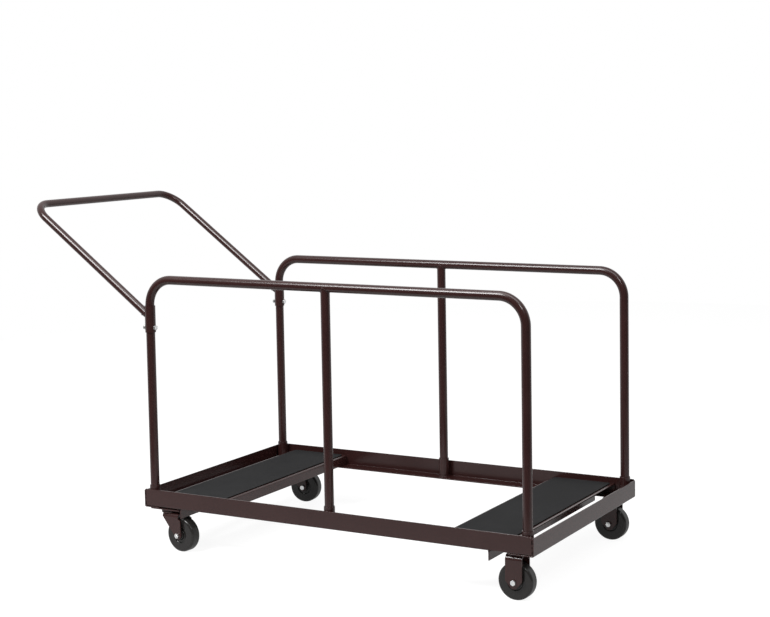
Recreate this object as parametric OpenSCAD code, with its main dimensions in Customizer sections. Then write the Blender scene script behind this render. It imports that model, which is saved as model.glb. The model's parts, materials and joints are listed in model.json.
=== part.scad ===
// Banquet table trolley: a welded angle-steel base on two swivel and two rigid casters,
// a tubular hoop along each side that holds standing table tops, and a push handle.
// Millimetres, +Z up, +X from the handle end to the rigid-caster end, front side at -Y.
// The origin is on the floor, under the middle of the whole trolley.

/* [Base frame] */
// Length of the base over the end rails
base_len = 1220; // [1000:1:1800]
// Width of the base over the side rails
base_wid = 700; // [560:1:900]
// Height of a rail's upright leg
rail_h = 49; // [40:0.5:70]
// Width of a rail's flat leg
rail_leg = 49; // [44:0.5:60]
// Thickness of the rail steel
rail_t = 3.2; // [2.5:0.1:3.5]
// Radius inside a rail's bend
rail_bend = 0.8; // [0.5:0.1:0.9]

/* [Cross angles] */
// Distance from the base's end to the far face of a cross angle's hanging leg
cross_in = 127; // [120:0.5:150]
// Gap between the swivel casters' wheels and the hanging leg over them
wheel_clear = 1.6; // [1:0.1:8]
// Width of the flat leg, welded under the rails
cross_leg = 38; // [25:0.5:60]
// Thickness of the cross angle steel
cross_t = 3.2; // [2.5:0.1:4.5]
// Set-back of the cross angle's ends from the side rails' faces
cross_setback = 1; // [0.5:0.5:10]
// Lap of a cross angle's flat leg under a rail's flat leg
cross_lap = 9; // [6:0.5:20]

/* [Deck] */
// Distance from the base's end to the deck pan
pan_in = 60; // [56:1:80]
// Width of a deck pan along the base
pan_wid = 196; // [120:1:300]
// Distance from the side rail's face to the deck pan
pan_side = 4.5; // [4.5:0.5:30]
// Depth of the pan's top under the rails' top edge
pan_drop = 17; // [10:0.5:25]
// Thickness of the pan's sheet steel
pan_t = 3; // [2:0.1:4]
// Radius inside the pan's bends
pan_bend = 1.5; // [0.5:0.1:3]
// Thickness of the flat bars that hold up the pan's ends
bar_t = 3; // [2:0.5:6]
// Thickness of the rubber mat
mat_t = 3; // [2:0.5:6]
// Bare margin of the pan around its mat
mat_margin = 10; // [5:0.5:20]
// Corner radius of the mat
mat_r = 8; // [2:0.5:20]

/* [Hoops] */
// Diameter of the hoop tube
hoop_d = 25.4; // [19:0.1:32]
// Wall of the hoop tube
hoop_wall = 1.6; // [1:0.1:2.5]
// Height of the top bar's axis over the rails' top edge
hoop_rise = 601; // [560:1:900]
// Distance from the base's end to a corner post's axis
post_in = 24; // [22:0.5:34]
// Bend radius of the hoop, to the tube's axis
hoop_bend = 74; // [45:1:110]
// Wall of a post socket
socket_wall = 2.2; // [1.5:0.1:3]
// Height of a socket's mouth over the rails' top edge
socket_stand = 10; // [4:0.5:30]
// Gap between a socket and the rail's upright leg, filled by the weld
socket_gap = 0.9; // [0.9:0.1:3]

/* [Handle] */
// Diameter of the handle tube
handle_d = 22.2; // [16:0.1:28]
// Wall of the handle tube
handle_wall = 1.6; // [1:0.1:2.5]
// Distance from the base's end out to the bar's axis
handle_reach = 401; // [250:1:600]
// Height of the bar's axis over the point where a leg meets its post
handle_lift = 312; // [200:1:450]
// Bend radius of the handle's corners, to the tube's axis
handle_bend = 65; // [40:1:120]
// Length of a handle sleeve
sleeve_h = 76; // [70:1:120]
// Height of the leg's meeting point over the sleeve's middle
sleeve_offset = 5; // [-5:0.5:10]
// Straight post left between a sleeve's upper end and the hoop's bend
sleeve_gap = 1; // [0.5:0.5:60]
// Wall of a handle sleeve
sleeve_wall = 2.2; // [1.5:0.1:3]
// Height of the clamping bolt over the sleeve's lower end
sleeve_bolt_z = 13.5; // [12:0.5:24]

/* [Casters] */
// Diameter of a wheel
wheel_d = 97.5; // [90:0.5:110]
// Width of a wheel's tread
wheel_w = 32; // [26:0.5:36]
// Shoulder radius of the tread
wheel_r = 7; // [3:0.5:10]
// Diameter of the round recess in a wheel's face
recess_d = 45; // [38:0.5:60]
// Depth of that recess
recess_t = 3; // [1:0.1:5]
// Diameter of the wheel's hub
hub_d = 28; // [25:0.5:36]
// Stand of the hub's face over the tread's side
hub_stand = 5.3; // [4:0.1:9]
// Distance from the side rail's face to the wheel plane of a rigid caster
caster_side = 31; // [31:0.5:45]
// Gap between a swivel caster's plate and the cross angle
plate_gap = 4; // [2:0.1:8]
// Distance from the other end to the rigid casters' axle
rigid_in = 59.5; // [54:0.5:70]
// Offset of the wheel's axle behind the swivel axis
trail = 46.5; // [40:0.5:50]
// Turn of the swivel casters, as they stand
swivel_turn = -5.5; // [-15:0.5:15]
// Length of a caster's top plate
plate_len = 102; // [80:0.5:104]
// Width of a caster's top plate
plate_wid = 60; // [54:0.5:62]
// Thickness of a caster's top plate
plate_t = 3.2; // [2.5:0.1:4.5]
// Corner radius of a caster's top plate
plate_r = 6; // [2:0.5:12]
// Length of a rigid caster's plate
rigid_plate_len = 46; // [40:0.5:60]
// Width of a rigid caster's plate
rigid_plate_wid = 36; // [30:0.5:44]
// Setback of a swivel caster's packing behind the side rail's face
packing_in = 9; // [6:0.5:14]
// Margin of a packing to the end rail, the plate's end and the flat leg's edge
packing_gap = 2; // [1:0.5:4]
// Length of a rigid caster's packing
rigid_packing_len = 21; // [16:0.5:30]
// Setback of a rigid caster's packing behind the side rail's face
rigid_packing_in = 0.5; // [0.5:0.5:6]

/* [Forks] */
// Thickness of the fork steel
fork_t = 3.2; // [2.5:0.1:4]
// Radius inside the fork's bends
fork_bend = 10; // [2:0.5:12]
// Gap between the hub's face and a fork leg
hub_gap = 0.5; // [0.3:0.1:1]
// Gap between the wheel's top and the swivel fork's crown
crown_gap = 11.4; // [9:0.1:16]
// Diameter of the swivel fork's crown
crown_d = 52; // [50:0.5:58]
// Reach of the swivel fork's legs ahead of the swivel axis
leg_lead = 9.5; // [8:0.5:20]
// Gap between the swivel fork's shoulders and the cross angle
shoulder_clear = 1.5; // [1.2:0.1:4]
// Reach of the swivel fork's legs behind the axle
leg_tail = 9; // [8:0.5:14]
// Radius of the swivel fork's leg ends
leg_end_r = 11; // [10:0.5:18]
// Width of a rigid fork's legs
rigid_wid = 47; // [38:0.5:52]
// Reach of the rigid legs below the axle
rigid_drop = 17.5; // [12:0.5:24]
// Height over the axle at which the rigid legs start to taper
rigid_taper = 3; // [0:0.5:10]
// Width to which the rigid legs taper at their reach
rigid_tip = 11; // [8:0.5:14]
// Height of the rounding at the rigid legs' tips
rigid_tip_h = 7.5; // [5:0.5:8]

/* [Swivel bearing] */
// Diameter of the ball race
race_d = 50; // [48:0.5:54]
// Bore of the ball race
race_bore = 28; // [26:0.5:30]
// Height of the ball race
race_h = 4.6; // [4:0.1:9]
// Gap between the ball race and the crown
race_gap = 1.6; // [1.2:0.1:2]
// Diameter of a bearing ball
ball_d = 5; // [4.5:0.1:5.5]
// Number of balls in a race
ball_count = 14; // [8:1:18]
// Diameter of the kingpin
kingpin_d = 12; // [10:0.5:14]
// Height of the kingpin's nut
king_nut_h = 6; // [4:0.5:8]
// Width of the kingpin's nut across its flats
king_nut_af = 18; // [16:0.5:20]

/* [Fasteners] */
// Diameter of the axle bolts and the handle bolts
bolt_d = 8; // [6:0.5:9]
// Width of a bolt's head and nut across the flats
bolt_af = 13; // [11:0.5:15]
// Thickness of a bolt's head
bolt_head = 5.3; // [4:0.1:7]
// Thickness of a nut
nut_h = 6.5; // [5:0.1:8]
// Length of bolt that stands out of its nut
bolt_tip = 2.5; // [1:0.5:6]
// Outside diameter of the axle sleeve
axle_sleeve_d = 13; // [11:0.5:15]
// Wall of the bush in the hub
bush_wall = 3.4; // [2:0.1:4]

/* [Fits] */
// Clearance around a post in its socket and in its sleeve
slip_clear = 0.2; // [0.1:0.05:0.4]
// Clearance around a bolt
bolt_clear = 0.25; // [0.1:0.05:0.5]
// Running clearance of the bushes and the kingpins
run_clear = 0.06; // [0.02:0.01:0.1]
// Clearance around a bearing ball and over the kingpin's nut
ball_clear = 0.3; // [0.2:0.05:0.4]

/* [Hidden] */
$fn = 64;

PAINT = "#443938";
ZINC = "#c4c8cc";
BLACK = "#232325";
STEEL = "#8f8d8a";
FRONT = -1;
REAR = 1;
eps = 0.01;

// Plan: the base lies to the right of the middle, because the handle overhangs its left end.
handle_out = handle_reach + handle_d / 2;
x_left = (handle_out - base_len) / 2;
x_right = x_left + base_len;
x_mid = (x_left + x_right) / 2;
half_wid = base_wid / 2;

// Heights, stacked up from the floor through the swivel caster.
axle_z = wheel_d / 2;
crown_z = wheel_d + crown_gap;
crown_top = crown_z + fork_t;
race_z = crown_top + race_gap;
plate_z = race_z + race_h;
end_rail_z = plate_z + plate_t;
rail_z = end_rail_z + rail_t;
flat_z = rail_z + rail_t;
rail_top = rail_z + rail_h;
pan_top = rail_top - pan_drop;
pan_h = pan_top - flat_z;
pan_len = base_wid - 2 * pan_side;
cross_drop = rail_z - wheel_d - wheel_clear;

// Hoops, sockets and handle.
socket_d = hoop_d + 2 * slip_clear + 2 * socket_wall;
sleeve_d = hoop_d + 2 * slip_clear + 2 * sleeve_wall;
post_side = rail_t + socket_gap + socket_d / 2;
post_y = half_wid - post_side;
hoop_z = rail_top + hoop_rise;
sleeve_z = hoop_z - hoop_bend - sleeve_gap - sleeve_h;
joint_z = sleeve_z + sleeve_h / 2 + sleeve_offset;
handle_bolt_z = sleeve_z + sleeve_bolt_z;
handle_run = handle_reach + post_in;
handle_leg = sqrt(handle_run * handle_run + handle_lift * handle_lift);
handle_slope = atan2(handle_lift, handle_run);

// Casters.
caster_y = half_wid - caster_side;
swivel_x = x_left + cross_in - cross_t - plate_gap - plate_len / 2;
rigid_x = x_right - rigid_in;
hub_w = wheel_w + 2 * hub_stand;
fork_in = hub_w + 2 * hub_gap;
fork_out = fork_in + 2 * fork_t;
bush_bore = axle_sleeve_d + 2 * run_clear;
bush_d = bush_bore + 2 * bush_wall;
ball_ring = (race_d + race_bore) / 4;
ball_z = crown_top + race_gap / 2;
shoulder_z = wheel_d + wheel_clear - fork_t;
shoulder_r = plate_len / 2 + plate_gap - shoulder_clear;
leg_shoulder = sqrt(shoulder_r * shoulder_r - fork_out * fork_out / 4);

// The point where the tangent from p touches a circle; side is 1 or -1.
function tangent(p, c, r, side) =
    let (a = atan2(p[1] - c[1], p[0] - c[0]), b = acos(r / norm(p - c)))
    c + r * [cos(a + side * b), sin(a + side * b)];

// Section of an angle with a bent heel at the origin, one leg up and one leg flat.
module angle_section(up, flat, t, bend) {
    r = bend + t;
    translate([r, 0]) square([flat - r, t]);
    translate([0, r]) square([t, up - r]);
    intersection() {
        square(r);
        translate([r, r]) difference() {
            circle(r);
            circle(bend);
        }
    }
}

module rounded_rect(size, r) {
    square([size[0] - 2 * r, size[1]], center = true);
    square([size[0], size[1] - 2 * r], center = true);
    for (x = [-1, 1], y = [-1, 1]) translate([x * (size[0] / 2 - r), y * (size[1] / 2 - r)]) circle(r);
}

module tube_section(d, wall) {
    difference() {
        circle(d = d);
        circle(d = d - 2 * wall);
    }
}

module tube(d, wall, length) {
    linear_extrude(length) tube_section(d, wall);
}

// A quarter bend of tube about +Z, from the +X side to the +Y side.
module tube_bend(d, wall, r) {
    rotate_extrude(angle = 90) translate([r, 0]) tube_section(d, wall);
}

module hex(af, h) {
    cylinder(d = af / cos(30), h = h, $fn = 6);
}

// A hex bolt along +Z, its head's seat at z = 0 and its nut's seat at z = grip.
module bolt(grip) {
    translate([0, 0, -bolt_head]) hex(bolt_af, bolt_head);
    cylinder(d = bolt_d, h = grip + nut_h + bolt_tip);
}

module nut(grip) {
    translate([0, 0, grip]) difference() {
        hex(bolt_af, nut_h);
        translate([0, 0, -eps]) cylinder(d = bolt_d + 2 * run_clear, h = nut_h + 2 * eps);
    }
}

// Places a child that is drawn for the handle end, with x counted inwards from that end.
module at_left() {
    translate([x_left, 0, 0]) children();
}

module at_right() {
    translate([x_right, 0, 0]) mirror([1, 0, 0]) children();
}

// Places a child that is drawn for the front side on either side.
module on_side(side) {
    mirror([0, side == REAR ? 1 : 0, 0]) children();
}

// One rail along X, its upright leg's face at y = 0 and its flat leg towards +Y.
module rail(length, z) {
    color(PAINT) translate([-length / 2, 0, z]) rotate([90, 0, 90])
        linear_extrude(length) angle_section(rail_h, rail_leg, rail_t, rail_bend);
}

// The side rails lie on the end rails' flat legs and stop behind their upright legs.
module side_rail() {
    translate([x_mid, -half_wid, 0]) rail(base_len - 2 * (rail_t + rail_bend), rail_z);
}

module front_rail() {
    on_side(FRONT) side_rail();
}

module rear_rail() {
    on_side(REAR) side_rail();
}

module left_end_rail() {
    translate([x_left, 0, 0]) rotate(-90) rail(base_wid, end_rail_z);
}

module right_end_rail() {
    translate([x_right, 0, 0]) rotate(90) rail(base_wid, end_rail_z);
}

// An angle across the base under the rails, its hanging leg towards the base's end.
// The hanging leg runs the full width; the flat leg stops under the rails' flat legs.
module cross_angle() {
    length = base_wid - 2 * cross_setback;
    cope = rail_leg - cross_setback - cross_lap;
    heel = cross_t + rail_bend;
    color(PAINT) translate([cross_in - cross_t, 0, rail_z]) difference() {
        rotate([-90, 0, 0]) linear_extrude(length, center = true)
            angle_section(cross_drop, cross_leg, cross_t, rail_bend);
        for (turn = [0, 1]) mirror([0, turn, 0]) translate([heel, length / 2 - cope, -cross_t - eps])
            cube([cross_leg, cope + eps, cross_t + 2 * eps]);
    }
}

module left_cross_angle() {
    at_left() cross_angle();
}

module right_cross_angle() {
    at_right() cross_angle();
}

// A folded sheet that carries the table edges; its edge towards the middle of the base is folded down.
module deck_pan() {
    color(PAINT) translate([pan_in + pan_wid, 0, pan_top]) rotate([-90, 0, 0])
        linear_extrude(pan_len, center = true) mirror([1, 0]) angle_section(pan_h, pan_wid, pan_t, pan_bend);
}

module left_deck_pan() {
    at_left() deck_pan();
}

module right_deck_pan() {
    at_right() deck_pan();
}

// Flat bars on edge under a deck pan's ends; they stand on the rails' flat legs.
module deck_bars() {
    color(PAINT) for (turn = [0, 1]) mirror([0, turn, 0])
        translate([pan_in, pan_len / 2 - bar_t, flat_z])
            cube([pan_wid - pan_t - pan_bend, bar_t, pan_h - pan_t]);
}

module left_deck_bars() {
    at_left() deck_bars();
}

module right_deck_bars() {
    at_right() deck_bars();
}

module deck_mat() {
    mat_wid = pan_wid - 2 * mat_margin;
    mat_len = pan_len - 2 * mat_margin;
    color(BLACK) translate([pan_in + pan_wid / 2, 0, pan_top]) linear_extrude(mat_t)
        rounded_rect([mat_wid, mat_len], mat_r);
}

module left_deck_mat() {
    at_left() deck_mat();
}

module right_deck_mat() {
    at_right() deck_mat();
}

// A short tube that stands on the rail's flat leg and takes a post.
module socket(x, side) {
    color(PAINT) translate([x, side * post_y, flat_z])
        tube(socket_d, socket_wall, rail_top + socket_stand - flat_z);
}

module front_left_socket() {
    socket(x_left + post_in, FRONT);
}

module front_centre_socket() {
    socket(x_mid, FRONT);
}

module front_right_socket() {
    socket(x_right - post_in, FRONT);
}

module rear_left_socket() {
    socket(x_left + post_in, REAR);
}

module rear_centre_socket() {
    socket(x_mid, REAR);
}

module rear_right_socket() {
    socket(x_right - post_in, REAR);
}

// The bent tube of one side: a post at each end and the top bar between them.
module hoop(side) {
    post_h = hoop_z - hoop_bend - flat_z;
    span = base_len - 2 * post_in;
    bar = span - 2 * hoop_bend;
    color(PAINT) translate([x_mid, side * post_y, 0]) difference() {
        union() {
            for (end = [-1, 1]) translate([end * span / 2, 0, flat_z]) tube(hoop_d, hoop_wall, post_h);
            for (turn = [0, 1]) mirror([turn, 0, 0]) translate([bar / 2, 0, hoop_z - hoop_bend])
                rotate([90, 0, 0]) tube_bend(hoop_d, hoop_wall, hoop_bend);
            translate([-bar / 2, 0, hoop_z]) rotate([0, 90, 0]) tube(hoop_d, hoop_wall, bar);
        }
        translate([-span / 2, 0, handle_bolt_z]) rotate([0, 90, 0])
            cylinder(d = bolt_d + 2 * bolt_clear, h = 2 * hoop_d, center = true);
    }
}

module front_hoop() {
    hoop(FRONT);
}

module rear_hoop() {
    hoop(REAR);
}

// The middle post, its upper end cut to fit under the hoop's top bar.
module centre_post(side) {
    color(PAINT) translate([x_mid, side * post_y, 0]) difference() {
        translate([0, 0, flat_z]) tube(hoop_d, hoop_wall, hoop_z - flat_z);
        translate([0, 0, hoop_z]) rotate([0, 90, 0]) cylinder(d = hoop_d, h = 2 * hoop_d, center = true);
    }
}

module front_centre_post() {
    centre_post(FRONT);
}

module rear_centre_post() {
    centre_post(REAR);
}

// The push handle: two sloping legs and the bar between them, cut to fit the sleeves.
module handle_tube() {
    straight = handle_leg - handle_bend;
    bar = 2 * (post_y - handle_bend);
    color(PAINT) difference() {
        translate([x_left + post_in, 0, joint_z]) rotate([0, 180 + handle_slope, 0]) {
            for (turn = [0, 1]) mirror([0, turn, 0]) {
                translate([0, post_y, 0]) rotate([0, 90, 0]) tube(handle_d, handle_wall, straight);
                translate([straight, post_y - handle_bend, 0]) tube_bend(handle_d, handle_wall, handle_bend);
            }
            translate([handle_leg, bar / 2, 0]) rotate([90, 0, 0]) tube(handle_d, handle_wall, bar);
        }
        for (side = [FRONT, REAR]) translate([x_left + post_in, side * post_y, joint_z])
            cylinder(d = sleeve_d, h = 3 * handle_d, center = true);
    }
}

// The sleeve that joins a handle leg to its post, drilled for its bolt.
module handle_sleeve(side) {
    color(PAINT) translate([x_left + post_in, side * post_y, 0]) difference() {
        translate([0, 0, sleeve_z]) tube(sleeve_d, sleeve_wall, sleeve_h);
        translate([0, 0, handle_bolt_z]) rotate([0, 90, 0])
            cylinder(d = bolt_d + 2 * bolt_clear, h = 2 * sleeve_d, center = true);
    }
}

module front_handle_sleeve() {
    handle_sleeve(FRONT);
}

module rear_handle_sleeve() {
    handle_sleeve(REAR);
}

// Places a handle bolt: its head inside the load space, its nut towards the handle.
module at_handle_bolts() {
    for (side = [FRONT, REAR]) translate([x_left + post_in + sleeve_d / 2, side * post_y, handle_bolt_z])
        rotate([0, -90, 0]) children();
}

module handle_bolts() {
    color(ZINC) at_handle_bolts() bolt(sleeve_d);
}

module handle_nuts() {
    color(ZINC) at_handle_bolts() nut(sleeve_d);
}

// Top plate of a caster, welded under an end rail; the swivel caster's has a countersunk hole.
module caster_plate(swivels) {
    size = swivels ? [plate_len, plate_wid] : [rigid_plate_len, rigid_plate_wid];
    color(PAINT) translate([0, 0, plate_z]) difference() {
        linear_extrude(plate_t) rounded_rect(size, plate_r);
        if (swivels) translate([0, 0, -eps]) kingpin_head(bolt_clear);
    }
}

// The kingpin's countersunk head, as deep as the plate.
module kingpin_head(clear) {
    r = kingpin_d / 2 + clear;
    cylinder(r1 = r, r2 = r + plate_t, h = plate_t);
    translate([0, 0, -eps]) cylinder(r = r, h = 2 * eps);
    if (clear > 0) translate([0, 0, plate_t - eps]) cylinder(r = r + plate_t, h = 3 * eps);
}

module at_swivel(side) {
    on_side(side) translate([swivel_x, -caster_y, 0]) children();
}

module at_rigid(side) {
    on_side(side) translate([rigid_x, -caster_y, 0]) children();
}

module front_left_caster_plate() {
    at_swivel(FRONT) caster_plate(true);
}

module rear_left_caster_plate() {
    at_swivel(REAR) caster_plate(true);
}

module front_right_caster_plate() {
    at_rigid(FRONT) caster_plate(false);
}

module rear_right_caster_plate() {
    at_rigid(REAR) caster_plate(false);
}

// A packing between a caster plate and the side rail over it, beside the end rail's flat leg.
module caster_packing(x, length, setback) {
    translate([x, -half_wid + setback, end_rail_z])
        cube([length, rail_leg - setback - packing_gap, rail_t]);
}

module caster_packings() {
    color(PAINT) for (side = [FRONT, REAR]) on_side(side) {
        swivel_end = swivel_x - x_left + plate_len / 2;
        caster_packing(x_left + rail_leg + packing_gap, swivel_end - rail_leg - 2 * packing_gap, packing_in);
        caster_packing(x_right - rail_leg - packing_gap / 2 - rigid_packing_len, rigid_packing_len,
            rigid_packing_in);
    }
}

// The groove that the balls run in.
module ball_groove() {
    translate([0, 0, ball_z]) rotate_extrude() translate([ball_ring, 0]) circle(d = ball_d + 2 * ball_clear);
}

module ball_race() {
    color(PAINT) difference() {
        translate([0, 0, race_z]) tube(race_d, (race_d - race_bore) / 2, race_h);
        ball_groove();
    }
}

module front_left_ball_race() {
    at_swivel(FRONT) ball_race();
}

module rear_left_ball_race() {
    at_swivel(REAR) ball_race();
}

module swivel_balls() {
    color(STEEL) for (side = [FRONT, REAR]) at_swivel(side) for (i = [0 : ball_count - 1])
        rotate(i * 360 / ball_count) translate([ball_ring, 0, ball_z]) sphere(d = ball_d);
}

// The kingpin hangs from the plate and carries its flanged nut under the fork's crown.
module kingpins() {
    tip_z = crown_z - ball_clear - king_nut_h - bolt_tip;
    color(STEEL) for (side = [FRONT, REAR]) at_swivel(side) {
        translate([0, 0, plate_z]) kingpin_head(0);
        translate([0, 0, tip_z]) cylinder(d = kingpin_d, h = plate_z - tip_z);
    }
}

module kingpin_nuts() {
    flange_h = king_nut_h / 4;
    color(ZINC) for (side = [FRONT, REAR]) at_swivel(side)
        translate([0, 0, crown_z - ball_clear - king_nut_h]) difference() {
            union() {
                hex(king_nut_af, king_nut_h);
                translate([0, 0, king_nut_h - flange_h])
                    cylinder(d = king_nut_af + king_nut_h, h = flange_h);
            }
            translate([0, 0, -eps]) cylinder(d = kingpin_d + 2 * run_clear, h = king_nut_h + 2 * eps);
        }
}

// A folded channel of fork steel with its crown's top at z, from x0 to x1.
module fork_channel(x0, x1, z) {
    depth = z - axle_z + fork_out;
    translate([x0, 0, z]) rotate([90, 0, 90]) linear_extrude(x1 - x0) for (turn = [0, 1])
        mirror([turn, 0]) translate([-fork_out / 2, 0]) mirror([0, 1])
            angle_section(depth, fork_out / 2, fork_t, fork_bend);
}

module axle_hole(x) {
    translate([x, 0, axle_z]) rotate([90, 0, 0])
        cylinder(d = bolt_d + 2 * bolt_clear, h = 2 * fork_out, center = true);
}

// Side view of the swivel fork: straight shoulders and legs that run back to the axle.
module swivel_fork_outline() {
    axle = [trail, axle_z];
    lead = [-leg_lead, crown_z - fork_bend];
    tail = [trail + leg_tail, shoulder_z - leg_tail / 2];
    polygon([[-leg_lead, crown_top], [leg_shoulder, crown_top], [leg_shoulder, shoulder_z], tail,
        tangent(tail, axle, leg_end_r, -1), axle, tangent(lead, axle, leg_end_r, 1), lead]);
    translate(axle) circle(leg_end_r);
}

// The swivel fork: a round crown that turns on the kingpin, and two legs.
module swivel_fork() {
    color(PAINT) difference() {
        union() {
            intersection() {
                fork_channel(-leg_lead, trail + leg_end_r, crown_top);
                rotate([90, 0, 0]) linear_extrude(2 * fork_out, center = true) swivel_fork_outline();
            }
            translate([0, 0, crown_z]) cylinder(d = crown_d, h = fork_t);
        }
        translate([0, 0, crown_z - eps]) cylinder(d = kingpin_d + 2 * run_clear, h = fork_t + 2 * eps);
        ball_groove();
        axle_hole(trail);
    }
}

// Side view of the rigid fork: wide legs that taper below the axle to a round tip.
module rigid_fork_outline() {
    half = rigid_wid / 2;
    foot_z = axle_z - rigid_drop;
    taper_z = axle_z + rigid_taper;
    difference() {
        translate([-half, foot_z - 1]) square([rigid_wid, plate_z - foot_z + 1]);
        for (turn = [0, 1]) mirror([turn, 0])
            polygon([[half, taper_z], [rigid_tip / 2, foot_z], [rigid_tip / 2, foot_z - 2],
                [half + 1, foot_z - 2], [half + 1, taper_z]]);
        difference() {
            translate([-half, foot_z - 2]) square([rigid_wid, rigid_tip_h + 2]);
            translate([0, axle_z]) circle(rigid_drop);
        }
    }
}

// The rigid fork: a channel welded under its plate.
module rigid_fork() {
    color(PAINT) difference() {
        intersection() {
            fork_channel(-rigid_wid / 2, rigid_wid / 2, plate_z);
            rotate([90, 0, 0]) linear_extrude(2 * fork_out, center = true) rigid_fork_outline();
        }
        axle_hole(0);
    }
}

module front_right_fork() {
    at_rigid(FRONT) rigid_fork();
}

module rear_right_fork() {
    at_rigid(REAR) rigid_fork();
}

// Turns a child that is drawn along +Z onto the axle, from the fork's front face backwards.
module on_axle() {
    translate([0, -fork_out / 2, axle_z]) rotate([-90, 0, 0]) children();
}

module axle_sleeve() {
    wall = axle_sleeve_d / 2 - bolt_d / 2 - bolt_clear;
    color(STEEL) translate([0, 0, fork_t]) tube(axle_sleeve_d, wall, fork_in);
}

module rigid_axle_bolts() {
    color(ZINC) for (side = [FRONT, REAR]) at_rigid(side) on_axle() bolt(fork_out);
}

module rigid_axle_nuts() {
    color(ZINC) for (side = [FRONT, REAR]) at_rigid(side) on_axle() nut(fork_out);
}

module rigid_axle_sleeves() {
    for (side = [FRONT, REAR]) at_rigid(side) on_axle() axle_sleeve();
}

// Places a child in the frame of a turned swivel fork, its axle behind the swivel axis.
module in_fork(side) {
    at_swivel(side) rotate(swivel_turn) children();
}

module at_swivel_axle(side) {
    in_fork(side) translate([trail, 0, 0]) on_axle() children();
}

// The swivel axle's bolt enters from the back, so that its nut is in front.
module from_back() {
    translate([0, 0, fork_out]) mirror([0, 0, 1]) children();
}

module front_left_fork() {
    in_fork(FRONT) swivel_fork();
}

module front_left_axle_bolt() {
    color(ZINC) at_swivel_axle(FRONT) from_back() bolt(fork_out);
}

module front_left_axle_nut() {
    color(ZINC) at_swivel_axle(FRONT) from_back() nut(fork_out);
}

module front_left_axle_sleeve() {
    at_swivel_axle(FRONT) axle_sleeve();
}

module rear_left_fork() {
    in_fork(REAR) swivel_fork();
}

module rear_left_axle_bolt() {
    color(ZINC) at_swivel_axle(REAR) from_back() bolt(fork_out);
}

module rear_left_axle_nut() {
    color(ZINC) at_swivel_axle(REAR) from_back() nut(fork_out);
}

module rear_left_axle_sleeve() {
    at_swivel_axle(REAR) axle_sleeve();
}

// Half section of a wheel, its axle along the section's second axis.
module wheel_section() {
    tread_r = wheel_d / 2;
    web_w = wheel_w - 2 * recess_t;
    translate([recess_d / 2, -wheel_w / 2 + wheel_r])
        square([tread_r - recess_d / 2, wheel_w - 2 * wheel_r]);
    translate([recess_d / 2, -wheel_w / 2]) square([tread_r - wheel_r - recess_d / 2, wheel_w]);
    for (s = [-1, 1]) translate([tread_r - wheel_r, s * (wheel_w / 2 - wheel_r)]) circle(wheel_r);
    translate([bush_d / 2, -web_w / 2]) square([recess_d / 2 - bush_d / 2, web_w]);
    translate([bush_d / 2, -hub_w / 2]) square([hub_d / 2 - bush_d / 2, hub_w]);
}

// The hard rubber wheel, centred on the axle between the fork's legs.
module wheel() {
    color(BLACK) translate([0, 0, fork_out / 2]) rotate_extrude() wheel_section();
}

module bush() {
    color(STEEL) translate([0, 0, (fork_out - hub_w) / 2]) tube(bush_d, bush_wall, hub_w);
}

module front_left_wheel() {
    at_swivel_axle(FRONT) wheel();
}

module front_left_bush() {
    at_swivel_axle(FRONT) bush();
}

module rear_left_wheel() {
    at_swivel_axle(REAR) wheel();
}

module rear_left_bush() {
    at_swivel_axle(REAR) bush();
}

module front_right_wheel() {
    at_rigid(FRONT) on_axle() wheel();
}

module front_right_bush() {
    at_rigid(FRONT) on_axle() bush();
}

module rear_right_wheel() {
    at_rigid(REAR) on_axle() wheel();
}

module rear_right_bush() {
    at_rigid(REAR) on_axle() bush();
}

front_rail();
rear_rail();
left_end_rail();
right_end_rail();
left_cross_angle();
right_cross_angle();
left_deck_pan();
right_deck_pan();
left_deck_bars();
right_deck_bars();
left_deck_mat();
right_deck_mat();
front_left_socket();
front_centre_socket();
front_right_socket();
rear_left_socket();
rear_centre_socket();
rear_right_socket();
front_hoop();
rear_hoop();
front_centre_post();
rear_centre_post();
handle_tube();
front_handle_sleeve();
rear_handle_sleeve();
handle_bolts();
handle_nuts();
front_left_caster_plate();
rear_left_caster_plate();
front_right_caster_plate();
rear_right_caster_plate();
caster_packings();
front_left_ball_race();
rear_left_ball_race();
swivel_balls();
kingpins();
kingpin_nuts();
front_right_fork();
rear_right_fork();
rigid_axle_bolts();
rigid_axle_nuts();
rigid_axle_sleeves();
front_left_fork();
front_left_axle_bolt();
front_left_axle_nut();
front_left_axle_sleeve();
rear_left_fork();
rear_left_axle_bolt();
rear_left_axle_nut();
rear_left_axle_sleeve();
front_left_wheel();
front_left_bush();
rear_left_wheel();
rear_left_bush();
front_right_wheel();
front_right_bush();
rear_right_wheel();
rear_right_bush();
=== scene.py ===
"""Looks of the banquet table trolley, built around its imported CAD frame.

The painted steel, nuts, bearings and mats are finished copies of the CAD nodes with their edges eased.
The bent tubes, wheels and bolts are modelled here, with the weld beads that join the steel.
"""

import json
import math

import bmesh
import bpy
from mathutils import Matrix, Vector

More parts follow.
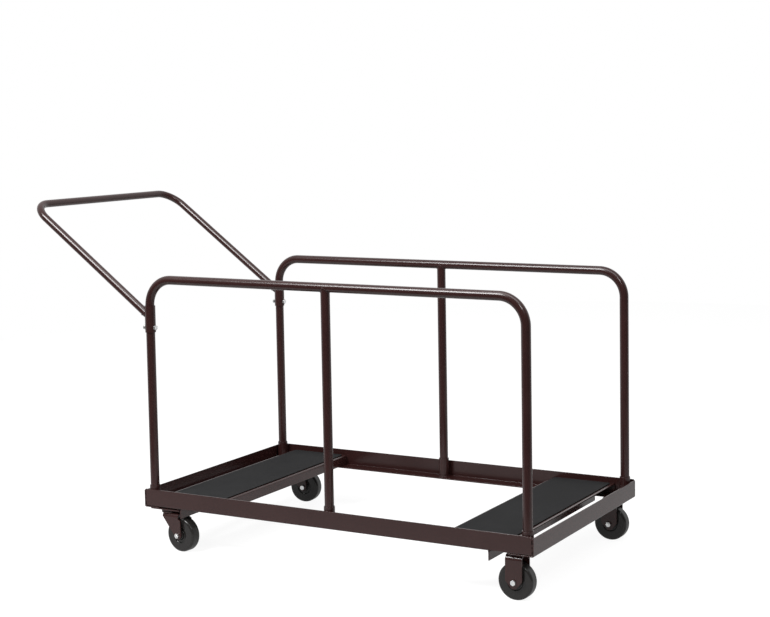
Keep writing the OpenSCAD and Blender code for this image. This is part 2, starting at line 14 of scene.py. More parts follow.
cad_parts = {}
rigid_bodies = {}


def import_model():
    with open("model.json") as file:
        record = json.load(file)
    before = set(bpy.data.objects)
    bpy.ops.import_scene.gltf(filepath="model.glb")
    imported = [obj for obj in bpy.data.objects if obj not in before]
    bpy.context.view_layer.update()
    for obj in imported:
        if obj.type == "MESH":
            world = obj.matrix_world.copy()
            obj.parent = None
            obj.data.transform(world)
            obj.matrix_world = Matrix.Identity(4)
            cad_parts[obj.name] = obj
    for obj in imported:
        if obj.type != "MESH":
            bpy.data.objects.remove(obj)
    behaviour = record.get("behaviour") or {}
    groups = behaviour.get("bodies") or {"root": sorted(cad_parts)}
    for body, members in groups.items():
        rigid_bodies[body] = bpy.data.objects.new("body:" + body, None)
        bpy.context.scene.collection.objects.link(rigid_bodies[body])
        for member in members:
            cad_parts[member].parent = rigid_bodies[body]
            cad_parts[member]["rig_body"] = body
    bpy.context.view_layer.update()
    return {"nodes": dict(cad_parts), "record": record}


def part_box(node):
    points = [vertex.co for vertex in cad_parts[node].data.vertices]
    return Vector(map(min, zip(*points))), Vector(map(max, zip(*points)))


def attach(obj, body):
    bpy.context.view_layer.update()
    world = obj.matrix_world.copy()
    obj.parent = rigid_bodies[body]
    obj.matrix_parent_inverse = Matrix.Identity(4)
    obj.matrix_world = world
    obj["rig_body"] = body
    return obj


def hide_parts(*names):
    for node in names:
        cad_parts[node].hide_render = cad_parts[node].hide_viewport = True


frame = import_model()
NODES = frame["nodes"]
SLOTS = {p["node"]: p["material_slot"] for p in frame["record"]["subparts"]}
MM = 0.001
X, Y, Z = Vector((1, 0, 0)), Vector((0, 1, 0)), Vector((0, 0, 1))

# Driving sizes that the frame's boxes don't give
HOOP_BEND = 74 * MM
HANDLE_D = 22.2 * MM
HANDLE_BEND = 65 * MM
JOINT_OVER_SLEEVE_MIDDLE = 5 * MM
STEEL_T = 3.2 * MM
RAIL_LEG = 49 * MM
FORK_HALF = 25 * MM
FORK_BEND = 13.2 * MM

# Bolts
BOLT_R, BOLT_AF, BOLT_HEAD, NUT_H, BOLT_TIP = 4 * MM, 13 * MM, 5.3 * MM, 6.5 * MM, 2.5 * MM
THREAD_PITCH, THREAD_DEPTH, THREAD_RUNOUT = 1.25 * MM, 0.65 * MM, 1.2 * MM
HEAD_CHAMFER, BOLT_EDGE = 1.1 * MM, 0.25 * MM

# Wheels
WHEEL_HALF, SHOULDER_R, RECESS_R, RECESS_T = 16 * MM, 7 * MM, 22.5 * MM, 3 * MM
RECESS_FILLET, RECESS_LIP = 2 * MM, 1 * MM
HUB_R, BUSH_R = 14 * MM, 9.96 * MM
TREAD_WEAR = 3 * MM

# Corner seams: the gap that shows, the depth of the bead in it, and the stitches down from the rail's top
SEAM_GAP = 1.6 * MM
SEAM_IN = 1.2 * MM
SEAM_STITCHES = [(a * MM, b * MM) for a, b in ((0.5, 7.5), (20, 25.5), (29, 37), (45, 48.5))]

# Weld beads: radii, how far their axes lie in an edge or stand off a face, where they start and stop, and ripple
BEAD_R = 1.7 * MM
LAP_BEAD_R, ANGLE_BEAD_R, FOOT_BEAD_R = 1.6 * MM, 2 * MM, 1.8 * MM
BEAD_IN, BEAD_OUT = 0.6 * MM, 0.7 * MM
FOOT_OUT, FOOT_UP = 0.4 * MM, 0.5 * MM
CREASE_IN, CREASE_HALF, CREASE_INSET = 1.3 * MM, 6 * MM, 2 * MM
FORK_BEAD_OUT = 5.5 * MM
LAP_START, LAP_STOP, ANGLE_INSET = 6 * MM, 2 * MM, 4 * MM
PACKING_START, PACKING_STOP, PLATE_INSET = 4 * MM, 6 * MM, 7 * MM
LEG_BEAD_START, LEG_BEAD_STOP = 2 * MM, 10 * MM
RIPPLE_STEP, RIPPLE_SIZE, RIPPLE_STEPS = 0.9 * MM, 0.12, 4

# Eased edges of the finished copies, and the faceting of round shapes
EDGES = {"brown_paint": 0.6 * MM, "zinc_plate": 0.5 * MM, "plain_steel": 0.3 * MM, "mat_rubber": 0.8 * MM}
EDGE_SEGMENTS, EDGE_ANGLE = 2, math.radians(35)
MERGE_DISTANCE, SPUN_MERGE_DISTANCE, FLAT_ANGLE = 0.002 * MM, 0.001 * MM, math.radians(0.5)
TUBE_STEPS, BEND_STEPS, WHEEL_STEPS, BOLT_STEPS, RING_STEPS, FLOOR_STEPS = 48, 20, 96, 32, 96, 96
LIP_STEPS, FILLET_STEPS, SHOULDER_STEPS = 4, 6, 12

# Studio: floor, surroundings and lamps with their place, turn in degrees, size and power
SEEN_RAYS = ("Is Camera Ray", "Is Glossy Ray", "Is Transmission Ray")
FLOOR_R, FLOOR_MIDDLE = 3.5, (-0.3, 2.25, 0)
FLOOR_GLOW, FLOOR_CAMERA_GLOW, FLOOR_GLOW_SHARE = 0.72, 0.42, 0.8
BRIGHT_SIDE = (-0.45, 0.8, 0.3)
MIRRORED_FADE = {"From Min": -0.35, "From Max": 0.35, "To Min": 0.12, "To Max": 1.0}
LIGHT_FADE = {"From Min": 0.0, "From Max": 1.0, "To Min": 0.2, "To Max": 0.75}
SOFTBOXES = (
    ("front_box", (-1.2, -2.75, 3.5), (42, 0, 0), (1.8, 1.4), 250),
    ("side_box", (2.5, -2.0, 2.65), (47, 0, 46), (0.5, 0.5), 25),
    ("top_box", (0.95, -0.8, 2.9), (0, 0, 0), (2.6, 1.2), 45),
)


class Value:
    """A shader value that takes part in Python sums; each sum adds a Math node."""

    def __init__(self, shader, socket):
        self.shader = shader
        self.socket = socket

    def math(self, operation, other):
        return self.shader.node("ShaderNodeMath", {"operation": operation}, {0: self, 1: other})

    def __add__(self, other):
        return self.math("ADD", other)

    def __mul__(self, other):
        return self.math("MULTIPLY", other)

    __radd__ = __add__
    __rmul__ = __mul__


class Shader:
    """Makes and links the nodes of a shader tree."""

    def __init__(self, tree):
        self.tree = tree
        self.tree.nodes.clear()

    def node(self, kind, settings=None, inputs=None, output=0):
        made = self.tree.nodes.new(kind)
        for key, setting in (settings or {}).items():
            if key == "stops":
                self.set_stops(made.color_ramp, setting)
            else:
                setattr(made, key, setting)
        for key, value in (inputs or {}).items():
            self.feed(made.inputs[key], value)
        return Value(self, made.outputs[output])

    def set_stops(self, ramp, stops):
        while len(ramp.elements) < len(stops):
            ramp.elements.new(0.5)
        for element, (place, grey) in zip(ramp.elements, stops):
            element.position = place
            element.color = (grey, grey, grey, 1)

    def feed(self, socket, value):
        if isinstance(value, Value):
            self.tree.links.new(value.socket, socket)
        else:
            socket.default_value = value

    def rays(self):
        return [self.node("ShaderNodeLightPath", output=ray) for ray in SEEN_RAYS]


class Finish(Shader):
    """A node material for one of the trolley's finishes."""

    def __init__(self, name):
        self.material = bpy.data.materials.new(name)
        self.material.use_nodes = True
        super().__init__(self.material.node_tree)
        self.surface = self.tree.nodes.new("ShaderNodeBsdfPrincipled")
        self.output = self.tree.nodes.new("ShaderNodeOutputMaterial")
        self.tree.links.new(self.surface.outputs[0], self.output.inputs["Surface"])

    def shade(self, **inputs):
        for name, value in inputs.items():
            self.feed(self.surface.inputs[name.replace("_", " ")], value)
        return self.material

    def place(self):
        return self.node("ShaderNodeTexCoord", output="Object")

    def noise(self, scale, detail, roughness=0.5):
        return self.node("ShaderNodeTexNoise", None, {
            "Vector": self.place(), "Scale": scale, "Detail": detail, "Roughness": roughness})

    def ramp(self, value, *stops):
        return self.node("ShaderNodeValToRGB", {"stops": stops}, {"Fac": value})

    def mix(self, factor, a, b):
        return self.node("ShaderNodeMix", {"data_type": "RGBA"}, {0: factor, 6: a, 7: b}, 2)

    def bump(self, height, distance, strength):
        return self.node("ShaderNodeBump", None, {"Height": height, "Distance": distance, "Strength": strength})


def brown_powder_coat():
    """Dark brown semi-gloss powder coat: a fine orange peel and faint clouding."""
    f = Finish("brown_powder_coat")
    clouds = f.ramp(f.noise(9, 3), (0.3, 0), (0.7, 1))
    colour = f.mix(clouds, (0.0208, 0.0071, 0.0065, 1), (0.0245, 0.0089, 0.0082, 1))
    peel = f.noise(420, 2)
    return f.shade(Base_Color=colour, Roughness=0.19 + 0.08 * f.noise(35, 3), Specular_IOR_Level=0.37,
                   Normal=f.bump(peel, 0.04 * MM, 0.03))


def zinc_plate():
    """Bright zinc plate with soft streaks and a faint warm and cool passivation."""
    f = Finish("zinc_plate")
    clouds = f.ramp(f.noise(160, 3), (0.35, 0), (0.65, 1))
    colour = f.mix(clouds, (0.74, 0.76, 0.79, 1), (0.83, 0.83, 0.8, 1))
    return f.shade(Base_Color=colour, Metallic=1.0, Roughness=0.24 + 0.16 * f.noise(500, 2),
                   Normal=f.bump(f.noise(1500, 2), 0.03 * MM, 0.3))


def plain_steel():
    """Turned steel with a light film of oil."""
    f = Finish("plain_steel")
    clouds = f.noise(90, 3)
    colour = f.mix(clouds, (0.36, 0.35, 0.34, 1), (0.52, 0.51, 0.5, 1))
    return f.shade(Base_Color=colour, Metallic=1.0, Roughness=0.3 + 0.2 * clouds)


def wheel_rubber():
    """Hard black rubber, smooth from the mould, duller where the tread meets the floor."""
    f = Finish("wheel_rubber")
    tread = f.node("ShaderNodeAttribute", {"attribute_name": "tread"}, output=2)
    scuffs = f.ramp(f.noise(130, 4, 0.6), (0.45, 0), (0.7, 1))
    dust = tread * scuffs
    colour = f.mix(dust * 0.4, (0.0125, 0.0115, 0.011, 1), (0.03, 0.029, 0.028, 1))
    grain = f.noise(700, 3)
    return f.shade(Base_Color=colour, Roughness=0.13 + 0.2 * tread + 0.08 * f.noise(60, 2),
                   Specular_IOR_Level=0.3, Normal=f.bump(grain, 0.03 * MM, 0.1))


def mat_rubber():
    """Matt black sheet rubber with a fine pebbled face; its near-black tone is partly painted shade of the deck
    under a load of tables.
    """
    f = Finish("mat_rubber")
    pebbles = f.node("ShaderNodeTexVoronoi", None, {"Vector": f.place(), "Scale": 420.0})
    worn = f.ramp(f.noise(14, 4, 0.6), (0.4, 0), (0.75, 1))
    # Painted shade: both tones are darker than bare black rubber and stand in for the shade the deck gets under a
    # stacked load.
    colour = f.mix(worn, (0.008, 0.008, 0.0085, 1), (0.016, 0.016, 0.0165, 1))
    return f.shade(Base_Color=colour, Roughness=0.78 + 0.12 * worn, Specular_IOR_Level=0.1,
                   Normal=f.bump(pebbles, 0.25 * MM, 0.5))


FINISHES = {"brown_paint": brown_powder_coat(), "zinc_plate": zinc_plate(), "plain_steel": plain_steel(),
            "wheel_rubber": wheel_rubber(), "mat_rubber": mat_rubber()}
dressed = set()


def add_piece(name, bm, slot, body, *nodes):
    """Makes a bmesh into a piece that rides on a body and stands for CAD nodes."""
    mesh = bpy.data.meshes.new(name)
    bm.to_mesh(mesh)
    bm.free()
    if mesh.has_custom_normals:
        mesh.attributes.remove(mesh.attributes["custom_normal"])
    mesh.materials.append(FINISHES[slot])
    mesh.shade_smooth()
    piece = bpy.data.objects.new(name, mesh)
    bpy.context.scene.collection.objects.link(piece)
    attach(piece, body)
    if nodes:
        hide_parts(*nodes)
        dressed.update(nodes)
    return piece


def weigh_normals(piece):
    """Keeps flat faces flat beside their rounded edges."""
    piece.modifiers.new("flat_faces", "WEIGHTED_NORMAL").keep_sharp = True


def ease_edges(piece, width):
    """Rounds a piece's sharp edges and keeps its flat faces flat."""
    bevel = piece.modifiers.new("eased_edges", "BEVEL")
    bevel.width = width
    bevel.segments = EDGE_SEGMENTS
    bevel.limit_method = "ANGLE"
    bevel.angle_limit = EDGE_ANGLE
    weigh_normals(piece)


def merged_copy(node):
    """A bmesh of a CAD node with its loose triangles joined into whole faces."""
    bm = bmesh.new()
    bm.from_mesh(NODES[node].data)
    bmesh.ops.remove_doubles(bm, verts=bm.verts, dist=MERGE_DISTANCE)
    bmesh.ops.dissolve_limit(bm, angle_limit=FLAT_ANGLE, verts=bm.verts, edges=bm.edges)
    return bm


def finish_node(node, bm):
    """A finished copy of a CAD node, with the edges that suit its material."""
    slot = SLOTS[node]
    ease_edges(add_piece(node + "_finished", bm, slot, NODES[node]["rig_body"], node), EDGES[slot])


def build_side_rails():
    """The side rails, cut a little short of the end rails so that the stitched seams show."""
    for node in ("front_rail", "rear_rail"):
        low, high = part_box(node)
        bm = merged_copy(node)
        for v in bm.verts:
            v.co.x += SEAM_GAP if v.co.x < low.x + MM else -SEAM_GAP if v.co.x > high.x - MM else 0
        finish_node(node, bm)


def facing(along):
    """The turn that takes Z to a direction."""
    return along.to_track_quat("Z", "Y").to_matrix().to_4x4()


class TubeRun:
    """A bent tube, grown ring by ring from its first end."""

    def __init__(self, diameter, start, along):
        self.bm = bmesh.new()
        ring = bmesh.ops.create_circle(self.bm, cap_ends=False, segments=TUBE_STEPS, radius=diameter / 2,
                                       matrix=Matrix.Translation(start) @ facing(along))
        self.ring = self.start = list({e for v in ring["verts"] for e in v.link_edges})
        bmesh.ops.contextual_create(self.bm, geom=self.ring)

    def straight(self, move):
        grown = bmesh.ops.extrude_edge_only(self.bm, edges=self.ring)["geom"]
        bmesh.ops.translate(self.bm, verts=[g for g in grown if isinstance(g, bmesh.types.BMVert)], vec=move)
        self.ring = [g for g in grown if isinstance(g, bmesh.types.BMEdge)]
        self.ring = [e for e in self.ring if len(e.link_faces) == 1]

    def bend(self, centre, axis):
        turned = bmesh.ops.spin(self.bm, geom=self.ring, cent=centre, axis=axis, angle=math.pi / 2,
                                steps=BEND_STEPS)
        self.ring = [g for g in turned["geom_last"] if isinstance(g, bmesh.types.BMEdge)]

    def close(self):
        bmesh.ops.contextual_create(self.bm, geom=self.ring)
        bmesh.ops.recalc_face_normals(self.bm, faces=self.bm.faces)
        for edge in self.start + self.ring:
            edge.smooth = False
        return self.bm


def hoop_axis(side):
    """Axes of one side's left post, right post, plane, foot and top bar, and the tube's diameter."""
    low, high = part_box(side + "_hoop")
    r = (high.y - low.y) / 2
    return low.x + r, high.x - r, (low.y + high.y) / 2, low.z, high.z - r, 2 * r


def build_hoop(side):
    left, right, y, foot, top, diameter = hoop_axis(side)
    run = TubeRun(diameter, Vector((left, y, foot)), Z)
    run.straight(Z * (top - HOOP_BEND - foot))
    run.bend(Vector((left + HOOP_BEND, y, top - HOOP_BEND)), Y)
    run.straight(X * (right - left - 2 * HOOP_BEND))
    run.bend(Vector((right - HOOP_BEND, y, top - HOOP_BEND)), Y)
    run.straight(Z * (foot - top + HOOP_BEND))
    add_piece(side + "_hoop_tube", run.close(), "brown_paint", "frame", side + "_hoop")


def handle_axis():
    """The point where the front leg meets its post, and the bar's axis in line with it."""
    low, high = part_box("handle_tube")
    sleeve_low, sleeve_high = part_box("front_handle_sleeve")
    left, _, y, _, _, _ = hoop_axis("front")
    joint = Vector((left, y, (sleeve_low.z + sleeve_high.z) / 2 + JOINT_OVER_SLEEVE_MIDDLE))
    bar = Vector((low.x + HANDLE_D / 2, y, high.z - HANDLE_D / 2))
    return joint, bar


def build_handle():
    joint, bar = handle_axis()
    up = (bar - joint).normalized()
    normal = up.cross(Y)
    reach = (bar - joint).length - HANDLE_BEND
    across = Y * (-2 * joint.y - 2 * HANDLE_BEND)
    corner = joint + up * reach + Y * HANDLE_BEND
    run = TubeRun(HANDLE_D, joint, up)
    run.straight(up * reach)
    run.bend(corner, normal)
    run.straight(across)
    run.bend(corner + across, normal)
    run.straight(-up * reach)
    add_piece("handle_bow", run.close(), "brown_paint", "frame", "handle_tube")


def arc(centre, radius, start, end, steps):
    """Points of an arc between two angles in degrees."""
    turns = [math.radians(start + (end - start) * k / steps) for k in range(steps + 1)]
    return [(centre[0] + radius * math.cos(t), centre[1] + radius * math.sin(t)) for t in turns]


def spun(outline, steps):
    """A solid turned about Z from a closed outline of radius and height."""
    bm = bmesh.new()
    verts = [bm.verts.new((r, 0, h)) for r, h in outline]
    edges = [bm.edges.new(pair) for pair in zip(verts, verts[1:] + verts[:1])]
    bmesh.ops.spin(bm, geom=verts + edges, cent=(0, 0, 0), axis=Z, angle=math.tau, steps=steps, use_merge=True)
    bmesh.ops.remove_doubles(bm, verts=bm.verts, dist=SPUN_MERGE_DISTANCE)
    bmesh.ops.recalc_face_normals(bm, faces=bm.faces)
    return bm


def set_on(bm, place, along):
    """Moves a shape built about Z to a place, with its Z along a direction."""
    bmesh.ops.transform(bm, matrix=Matrix.Translation(place) @ facing(along), verts=bm.verts)


def axles():
    """Caster name, axle centre and axle direction towards the trolley's outside, for each caster."""
    for joint in frame["record"]["behaviour"]["joints"]:
        if joint["name"].endswith("_wheel_spin"):
            place, along = Vector(joint["pos_m"]), Vector(joint["axis"]).normalized()
            yield joint["name"][:-len("_wheel_spin")], place, along if place.y > 0 else -along


def wheel_outline(tread_r, hub_half):
    """One side of a wheel from hub to tread, then the other side back."""
    web = WHEEL_HALF - RECESS_T
    fillet, lip = RECESS_FILLET, RECESS_LIP
    side = [(BUSH_R, hub_half)]
    side += arc((HUB_R - lip, hub_half - lip), lip, 90, 0, LIP_STEPS)
    side += arc((HUB_R + fillet, web + fillet), fillet, 180, 270, FILLET_STEPS)
    side += arc((RECESS_R - fillet, web + fillet), fillet, 270, 360, FILLET_STEPS)
    side += arc((RECESS_R + lip, WHEEL_HALF - lip), lip, 180, 90, LIP_STEPS)
    side += arc((tread_r - SHOULDER_R, WHEEL_HALF - SHOULDER_R), SHOULDER_R, 90, 0, SHOULDER_STEPS)
    return side + [(r, -h) for r, h in reversed(side)]


def build_wheel(caster, place, along):
    """A moulded wheel with round shoulders, a sunk ring round its hub and a tread that takes the wear."""
    low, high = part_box("front_right_wheel")
    tread_r, hub_half = (high.z - low.z) / 2, (high.y - low.y) / 2
    bm = spun(wheel_outline(tread_r, hub_half), WHEEL_STEPS)
    depths = [tread_r - math.hypot(v.co.x, v.co.y) for v in bm.verts]
    wear = [min(1, max(0, 1 - depth / TREAD_WEAR)) for depth in depths]
    set_on(bm, place, along)
    node = caster + "_wheel"
    piece = add_piece(node + "_moulding", bm, "wheel_rubber", NODES[node]["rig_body"], node)
    piece.data.attributes.new("tread", "FLOAT", "POINT").data.foreach_set("value", wear)
    weigh_normals(piece)


def bolt_shape(grip):
    """A hex bolt along Z, its head's seat at the origin, threaded from the nut to its tip."""
    end = grip + NUT_H + BOLT_TIP
    turns = int((NUT_H + BOLT_TIP - THREAD_RUNOUT) / THREAD_PITCH)
    shank = [(0, 0), (BOLT_R, 0), (BOLT_R, grip)]
    for k in range(turns):
        foot = grip + k * THREAD_PITCH
        shank += [(BOLT_R - THREAD_DEPTH, foot + THREAD_PITCH / 2), (BOLT_R, foot + THREAD_PITCH)]
    bm = spun(shank + [(BOLT_R - THREAD_DEPTH, end), (0, end)], BOLT_STEPS)
    head_r = BOLT_AF / math.sqrt(3)
    head = bmesh.ops.create_cone(bm, cap_ends=True, segments=6, radius1=head_r, radius2=head_r, depth=BOLT_HEAD,
                                 matrix=Matrix.Translation(Z * (-BOLT_HEAD / 2)))["verts"]
    corners = [v for v in head if v.co.z < -BOLT_HEAD / 2]
    bmesh.ops.bevel(bm, geom=corners, offset=HEAD_CHAMFER, offset_type="OFFSET", segments=1, profile=0.5,
                    affect="VERTICES", material=-1)
    return bm


def join(bm, other):
    """Adds one shape to another."""
    mesh = bpy.data.meshes.new("joined")
    other.to_mesh(mesh)
    other.free()
    bm.from_mesh(mesh)
    bpy.data.meshes.remove(mesh)


def add_bolts(node, bm):
    ease_edges(add_piece(node + "_turned", bm, "zinc_plate", NODES[node]["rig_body"], node), BOLT_EDGE)


def build_bolts():
    """The axle bolts, heads outside on the rigid casters, and the handle's two clamping bolts."""
    rigid, handle = bmesh.new(), bmesh.new()
    for caster, place, outward in axles():
        bolt = bolt_shape(2 * FORK_HALF)
        if caster.endswith("right"):
            set_on(bolt, place + outward * FORK_HALF, -outward)
            join(rigid, bolt)
        else:
            set_on(bolt, place - outward * FORK_HALF, outward)
            add_bolts(caster + "_axle_bolt", bolt)
    low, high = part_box("handle_bolts")
    for side in ("front", "rear"):
        sleeve_low, sleeve_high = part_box(side + "_handle_sleeve")
        bolt = bolt_shape(sleeve_high.x - sleeve_low.x)
        y = (sleeve_low.y + sleeve_high.y) / 2
        set_on(bolt, Vector((high.x - BOLT_HEAD, y, (low.z + high.z) / 2)), -X)
        join(handle, bolt)
    add_bolts("rigid_axle_bolts", rigid)
    add_bolts("handle_bolts", handle)


def weld(name, radius, runs):
    """Rippled weld beads along runs of points, painted with the steel."""
    curve = bpy.data.curves.new(name, "CURVE")
    curve.dimensions = "3D"
    curve.bevel_depth = radius
    curve.bevel_resolution = 1
    curve.use_fill_caps = True
    for run in runs:
        points = []
        for a, b in zip(run, run[1:]):
            steps = max(1, round((b - a).length / RIPPLE_STEP))
            points += [a.lerp(b, k / steps) for k in range(steps)]
        points.append(run[-1])
        bead = curve.splines.new("POLY")
        bead.points.add(len(points) - 1)
        for k, point in enumerate(points):
            bead.points[k].co = (*point, 1)
            bead.points[k].radius = 1 + RIPPLE_SIZE * math.cos(math.tau * k / RIPPLE_STEPS)
    rough = bpy.data.objects.new(name, curve)
    bm = bmesh.new()
    bm.from_mesh(rough.to_mesh())
    bpy.data.objects.remove(rough)
    bpy.data.curves.remove(curve)
    add_piece(name, bm, "brown_paint", "frame")


def ring(turn):
    """Points of a closed run, from a rule that gives a point for each angle."""
    return [turn(math.tau * k / RING_STEPS) for k in range(RING_STEPS + 1)]


def line_x(x0, x1, y, z):
    """A straight run along X."""
    return [Vector((x, y, z)) for x in (x0, x1)]


def line_y(x, y0, y1, z):
    """A straight run along Y."""
    return [Vector((x, y, z)) for y in (y0, y1)]


def line_z(x, y, z0, z1):
    """A straight run along Z."""
    return [Vector((x, y, z)) for z in (z0, z1)]


def base_corners():
    """Each corner of the base: its side, its end, its place and the directions from it into the base."""
    for side, into_y in (("front", 1), ("rear", -1)):
        low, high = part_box(side + "_rail")
        y = low.y if into_y > 0 else high.y
        for end, into_x in (("left", 1), ("right", -1)):
            low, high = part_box(end + "_end_rail")
            yield side, end, low.x if into_x > 0 else high.x, y, into_x, into_y


def caster_plate_runs(side, end, x, inner, into_x, into_y):
    """Beads round one caster plate: along its packing, across its outer end, and at the leg or the fork."""
    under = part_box(end + "_end_rail")[0].z
    low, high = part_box(f"{side}_{end}_caster_plate")
    outer_end, inner_end = (low.x, high.x) if into_x > 0 else (high.x, low.x)
    runs = [line_x(x + into_x * (RAIL_LEG + PACKING_START), inner_end - into_x * PACKING_STOP,
                   inner - into_y * BEAD_IN, under + STEEL_T / 2),
            line_y(outer_end - into_x * BEAD_IN, low.y + PLATE_INSET, high.y - PLATE_INSET, under - BEAD_OUT)]
    if end == "left":
        runs.append(line_y(x + into_x * (RAIL_LEG + BEAD_IN), inner + into_y * LEG_BEAD_START,
                           inner + into_y * LEG_BEAD_STOP, under + BEAD_OUT))
        return runs
    fork_low, fork_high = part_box(side + "_right_fork")
    middle = (low + high) / 2
    half = (fork_high.x - fork_low.x) / 2
    for way in (-1, 1):
        across = middle.y + way * (FORK_HALF - FORK_BEND + FORK_BEAD_OUT)
        runs.append(line_x(middle.x - half, middle.x + half, across, low.z - BEAD_IN))
    return runs


def build_base_welds():
    """Stitched corner seams, the rails' laps, cross angles, packings and caster plates."""
    rail_low, rail_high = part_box("front_rail")
    lap_z = rail_low.z + BEAD_OUT
    seams, laps, angles, plates = [], [], [], []
    for side, end, x, y, into_x, into_y in base_corners():
        inner = y + into_y * RAIL_LEG
        lap_y = inner + into_y * BEAD_OUT
        seams += [line_z(x + into_x * (STEEL_T + SEAM_IN), y + into_y * SEAM_IN, rail_high.z - a, rail_high.z - b)
                  for a, b in SEAM_STITCHES]
        laps.append(line_x(x + into_x * LAP_START, x + into_x * (RAIL_LEG - LAP_STOP), lap_y, lap_z))
        low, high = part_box(end + "_cross_angle")
        angles.append(line_x(low.x + ANGLE_INSET, high.x - ANGLE_INSET, lap_y, lap_z))
        plates += caster_plate_runs(side, end, x, inner, into_x, into_y)
    weld("corner_seams", BEAD_R, seams)
    weld("rail_lap_welds", LAP_BEAD_R, laps)
    weld("cross_angle_welds", ANGLE_BEAD_R, angles)
    weld("caster_plate_welds", BEAD_R, plates)


def build_socket_welds():
    """A ring round each socket's foot and two beads up the crease beside the rail."""
    rings, creases = [], []
    for side, out_y in (("front", -1), ("rear", 1)):
        rail_low, rail_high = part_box(side + "_rail")
        face = (rail_low.y if out_y < 0 else rail_high.y) - out_y * (STEEL_T + CREASE_IN)
        for place in ("left", "centre", "right"):
            low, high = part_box(f"{side}_{place}_socket")
            m, r = (low + high) / 2, (high.x - low.x) / 2 + FOOT_OUT
            foot = low.z + FOOT_UP
            rings.append(ring(lambda t: Vector((m.x + r * math.cos(t), m.y + r * math.sin(t), foot))))
            creases += [line_z(m.x + way * CREASE_HALF, face, low.z + CREASE_INSET, rail_high.z - CREASE_INSET)
                        for way in (-1, 1)]
    weld("socket_foot_welds", FOOT_BEAD_R, rings)
    weld("socket_crease_welds", BEAD_R, creases)


def build_tube_welds():
    """Fillets where the middle posts meet the top bars and the handle's legs meet their sleeves."""
    tees, legs = [], []
    joint, bar = handle_axis()
    up = (bar - joint).normalized()
    normal = up.cross(Y)
    slope = math.atan2(up.z, -up.x)
    sleeve_low, sleeve_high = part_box("front_handle_sleeve")
    sleeve_r, leg_r = (sleeve_high.x - sleeve_low.x) / 2, HANDLE_D / 2
    for side in ("front", "rear"):
        _, _, y, _, top, diameter = hoop_axis(side)
        low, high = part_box(side + "_centre_post")
        x, r = (low.x + high.x) / 2, (high.x - low.x) / 2

        def post_top(t):
            return Vector((x + r * math.cos(t), y + r * math.sin(t), top - diameter / 2 * abs(math.cos(t))))

        def leg_foot(t):
            across, out = leg_r * math.cos(t), leg_r * math.sin(t)
            reach = (out * math.sin(slope) + math.sqrt(sleeve_r ** 2 - across ** 2)) / math.cos(slope)
            return Vector((joint.x, y, joint.z)) + up * reach + Y * across + normal * out

        tees.append(ring(post_top))
        legs.append(ring(leg_foot))
    weld("post_top_welds", BEAD_R, tees)
    weld("handle_leg_welds", BEAD_R, legs)


for side in ("front", "rear"):
    build_hoop(side)
build_handle()
for caster, place, outward in axles():
    build_wheel(caster, place, outward)
build_bolts()
build_side_rails()
build_base_welds()
build_socket_welds()
build_tube_welds()
for node in sorted(set(NODES) - dressed):
    finish_node(node, merged_copy(node))


def build_floor():
    """A pale floor that keeps the trolley's shadow and reads as white to the camera."""
    bm = bmesh.new()
    bmesh.ops.create_circle(bm, cap_ends=True, segments=FLOOR_STEPS, radius=FLOOR_R,
                            matrix=Matrix.Translation(FLOOR_MIDDLE))
    mesh = bpy.data.meshes.new("studio_floor")
    bm.to_mesh(mesh)
    bm.free()
    floor = bpy.data.objects.new("studio_floor", mesh)
    bpy.context.scene.collection.objects.link(floor)
    f = Finish("studio_floor")
    rays = f.rays()
    f.shade(Base_Color=(0.9, 0.9, 0.9, 1), Roughness=0.9, Specular_IOR_Level=0.0)
    strength = FLOOR_GLOW + FLOOR_CAMERA_GLOW * rays[0]
    glow = f.node("ShaderNodeEmission", None, {"Color": (1, 1, 1, 1), "Strength": strength})
    seen = sum(rays, 0.0) * FLOOR_GLOW_SHARE
    mixed = f.node("ShaderNodeMixShader", None, {0: seen, 1: Value(f, f.surface.outputs[0]), 2: glow})
    f.tree.links.new(mixed.socket, f.output.inputs["Surface"])
    mesh.materials.append(f.material)


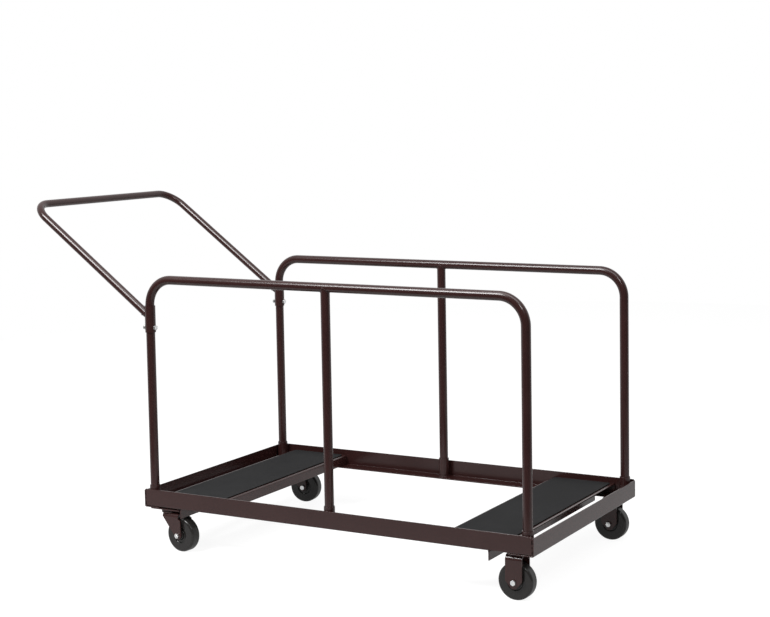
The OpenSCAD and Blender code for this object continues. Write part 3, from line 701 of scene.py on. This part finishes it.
def build_surroundings():
    """Surroundings that are white to the camera, fade to grey in front when mirrored, and light the right end."""
    world = bpy.data.worlds.new("studio")
    bpy.context.scene.world = world
    world.use_nodes = True
    studio = Shader(world.node_tree)
    rays = studio.rays()
    sight = studio.node("ShaderNodeTexCoord", output="Generated")
    bright = studio.node("ShaderNodeVectorMath", {"operation": "DOT_PRODUCT"}, {0: sight, 1: BRIGHT_SIDE}, "Value")
    mirrored = studio.node("ShaderNodeMapRange", None, {"Value": bright, **MIRRORED_FADE})
    sideways = studio.node("ShaderNodeSeparateXYZ", None, {0: sight}, "X")
    light = studio.node("ShaderNodeMapRange", None, {"Value": sideways, **LIGHT_FADE})
    shown = mirrored.math("MAXIMUM", rays[0])
    level = studio.node("ShaderNodeMix", None, {0: sum(rays, 0.0), 2: light, 3: shown})
    back = studio.node("ShaderNodeBackground", None, {"Color": (1, 1, 1, 1), "Strength": level})
    out = studio.tree.nodes.new("ShaderNodeOutputWorld")
    studio.feed(out.inputs["Surface"], back)


def add_softbox(name, place, turn, size, power):
    light = bpy.data.lights.new(name, "AREA")
    light.shape = "RECTANGLE"
    light.size, light.size_y = size
    light.energy = power
    lamp = bpy.data.objects.new(name, light)
    lamp.location = place
    lamp.rotation_euler = [math.radians(t) for t in turn]
    bpy.context.scene.collection.objects.link(lamp)


def build_camera():
    """The photograph's camera: solved place, aim and roll, for a 770 by 617 frame."""
    place = Vector((2.47855, -3.9603, 1.249))
    yaw, pitch, roll = 0.5093, 0.0863, 0.0162
    focal, frame_width, frame_height = 1619.5, 770, 617
    middle_x, middle_y = 405.0, 247.1
    forward = Vector((-math.sin(yaw) * math.cos(pitch), math.cos(yaw) * math.cos(pitch), -math.sin(pitch)))
    right = Vector((math.cos(yaw), math.sin(yaw), 0))
    down = forward.cross(right)
    across = math.cos(roll) * right + math.sin(roll) * down
    downward = math.cos(roll) * down - math.sin(roll) * right
    data = bpy.data.cameras.new("photo_camera")
    data.sensor_width = 36
    data.lens = focal / frame_width * data.sensor_width
    data.shift_x = (frame_width / 2 - middle_x) / frame_width
    data.shift_y = (middle_y - frame_height / 2) / frame_width
    data.clip_end = 200
    camera = bpy.data.objects.new("photo_camera", data)
    camera.matrix_world = Matrix.Translation(place) @ Matrix((across, -downward, -forward)).transposed().to_4x4()
    bpy.context.scene.collection.objects.link(camera)
    bpy.context.scene.camera = camera


build_floor()
build_surroundings()
for softbox in SOFTBOXES:
    add_softbox(*softbox)
build_camera()
bpy.context.scene.view_settings.view_transform = "Standard"
